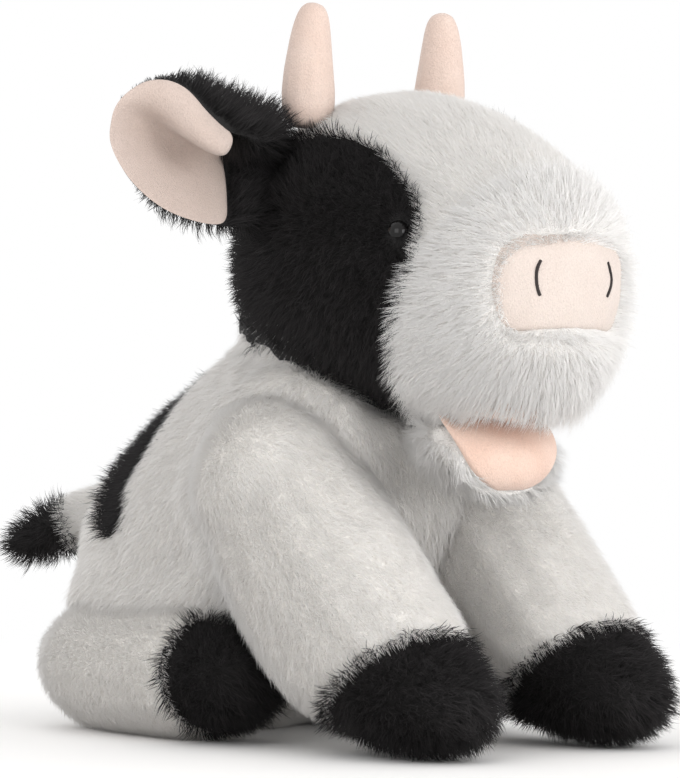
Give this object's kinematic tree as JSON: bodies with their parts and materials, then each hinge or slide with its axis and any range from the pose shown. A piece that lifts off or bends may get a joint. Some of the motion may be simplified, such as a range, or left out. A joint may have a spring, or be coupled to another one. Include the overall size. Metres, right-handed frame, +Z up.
{
  "type": "plush cow",
  "caption": "Seated stuffed toy cow with a nodding head, hinged chin, floppy ears, swinging legs and a wagging tail, sewn from white, black and pink panels.",
  "frame": {"origin": "on the floor, under the middle of the flat seat", "axes": "+Z up, the cow faces -Y, +X towards its left side"},
  "size_m": [0.2474, 0.3362, 0.3029],
  "materials": {
    "white_plush": "white long-pile plush",
    "black_plush": "black long-pile plush",
    "pink_velour": "pale pink short-nap velour",
    "mouth_cloth": "peach short-nap velour",
    "nostril_thread": "dark embroidery thread",
    "eye_plastic": "glossy black moulded bead",
    "washer_plastic": "plain moulded locking washer",
    "stuffing_fibre": "loose polyester fibre",
    "bag_cloth": "plain woven cotton bag of pellets"
  },
  "bodies": {
    "body": {"body_shell": "white_plush", "back_patch": "black_plush", "body_stuffing": "stuffing_fibre", "pellet_bag": "bag_cloth"},
    "head": {"head_shell": "white_plush", "muzzle": "white_plush", "head_patch_right": "black_plush", "head_patch_left": "black_plush", "head_stuffing": "stuffing_fibre", "nose_patch": "pink_velour", "nostril_right": "nostril_thread", "nostril_left": "nostril_thread", "eye_right": "eye_plastic", "eye_left": "eye_plastic", "eye_washer_right": "washer_plastic", "eye_washer_left": "washer_plastic", "mouth_lining": "mouth_cloth", "horn_right": "pink_velour", "horn_left": "pink_velour"},
    "jaw": {"lower_jaw": "white_plush", "lip_lining": "mouth_cloth"},
    "ear_right": {"ear_back_right": "black_plush", "ear_lining_right": "pink_velour"},
    "ear_left": {"ear_back_left": "black_plush", "ear_lining_left": "pink_velour"},
    "foreleg_right": {"foreleg_right": "white_plush", "front_hoof_right": "black_plush", "foreleg_stuffing_right": "stuffing_fibre"},
    "foreleg_left": {"foreleg_left": "white_plush", "front_hoof_left": "black_plush", "foreleg_stuffing_left": "stuffing_fibre"},
    "hind_leg_right": {"hind_leg_right": "white_plush", "hind_foot_right": "black_plush", "hind_leg_stuffing_right": "stuffing_fibre"},
    "hind_leg_left": {"hind_leg_left": "white_plush", "hind_foot_left": "black_plush", "hind_leg_stuffing_left": "stuffing_fibre"},
    "tail": {"tail": "white_plush", "tail_tuft": "black_plush"}
  },
  "joints": [
    {"name": "head_nod", "type": "hinge", "parent": "body", "child": "head", "pos_m": [0, -0.077, 0.16], "axis": [1, 0, 0], "range_deg": [-6, 6], "stiffness_Nm_per_rad": 6},
    {"name": "jaw_hinge", "type": "hinge", "parent": "head", "child": "jaw", "pos_m": [0, -0.138, 0.14], "axis": [1, 0, 0], "range_deg": [-3, 10], "stiffness_Nm_per_rad": 0.5},
    {"name": "ear_flop_right", "type": "hinge", "parent": "head", "child": "ear_right", "pos_m": [-0.0575, -0.088, 0.236], "axis": [0, 1, 0], "range_deg": [-15, 15], "stiffness_Nm_per_rad": 0.3},
    {"name": "ear_flop_left", "type": "hinge", "parent": "head", "child": "ear_left", "pos_m": [0.0575, -0.088, 0.236], "axis": [0, 1, 0], "range_deg": [-15, 15], "stiffness_Nm_per_rad": 0.3},
    {"name": "foreleg_lift_right", "type": "hinge", "parent": "body", "child": "foreleg_right", "pos_m": [-0.04976, -0.09171, 0.10522], "axis": [-1, 0, 0], "range_deg": [0, 10], "stiffness_Nm_per_rad": 3},
    {"name": "foreleg_lift_left", "type": "hinge", "parent": "body", "child": "foreleg_left", "pos_m": [0.04976, -0.09171, 0.10522], "axis": [-1, 0, 0], "range_deg": [0, 10], "stiffness_Nm_per_rad": 3},
    {"name": "hind_leg_splay_right", "type": "hinge", "parent": "body", "child": "hind_leg_right", "pos_m": [-0.05264, 0.01968, 0.028], "axis": [0, 0, -1], "range_deg": [0, 12], "stiffness_Nm_per_rad": 3},
    {"name": "hind_leg_splay_left", "type": "hinge", "parent": "body", "child": "hind_leg_left", "pos_m": [0.05264, 0.01968, 0.028], "axis": [0, 0, 1], "range_deg": [0, 12], "stiffness_Nm_per_rad": 3},
    {"name": "tail_wag", "type": "hinge", "parent": "body", "child": "tail", "pos_m": [-0.0013, 0.04909, 0.0945], "axis": [0, 0, 1], "range_deg": [-15, 15], "stiffness_Nm_per_rad": 0.3}
  ]
}
